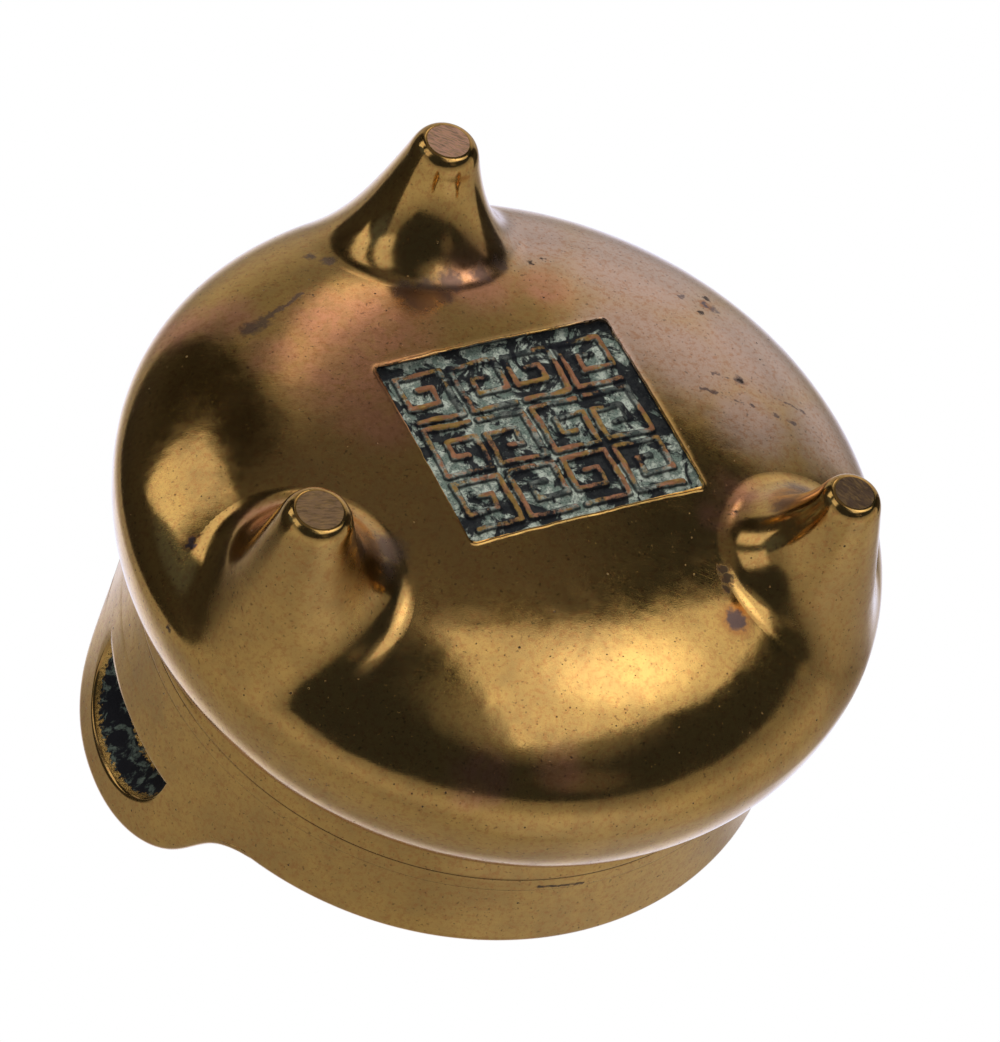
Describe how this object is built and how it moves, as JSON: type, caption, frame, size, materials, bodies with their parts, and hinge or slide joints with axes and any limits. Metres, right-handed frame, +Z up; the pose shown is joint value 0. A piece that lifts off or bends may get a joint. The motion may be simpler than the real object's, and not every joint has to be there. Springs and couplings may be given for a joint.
{
  "type": "tripod incense burner",
  "caption": "Squat round brass incense burner on short tapered feet, with a waisted neck, a flared lip, loop ears that rise from the lip and a sunk plate in its base.",
  "frame": {"origin": "on the surface that the feet stand on, under the middle of the belly, which is the bottom centre of the bounding box", "axes": "+Z up through the mouth, +X towards one ear and -X towards the other, +Y towards the back foot"},
  "size_m": [0.09, 0.09, 0.0651],
  "materials": {
    "polished_brass": "cast brass polished by long handling, golden brown with pinkish copper patches, fine scratches and small pits, soles of the feet rubbed to bare copper colour",
    "turned_brass": "cast brass turned and rubbed, fine streaks round the lip, dark residue in the groove, black and pale green patina inside the finger holes",
    "verdigris_panel": "matt pale blue-green verdigris with near-black patches, its raised ornament rubbed back to brass"
  },
  "bodies": {
    "root": {"bowl": "polished_brass", "rim_collar": "turned_brass", "ear_right": "turned_brass", "ear_left": "turned_brass", "foot_back": "polished_brass", "foot_left": "polished_brass", "foot_right": "polished_brass", "mark_panel": "verdigris_panel"}
  },
  "joints": []
}
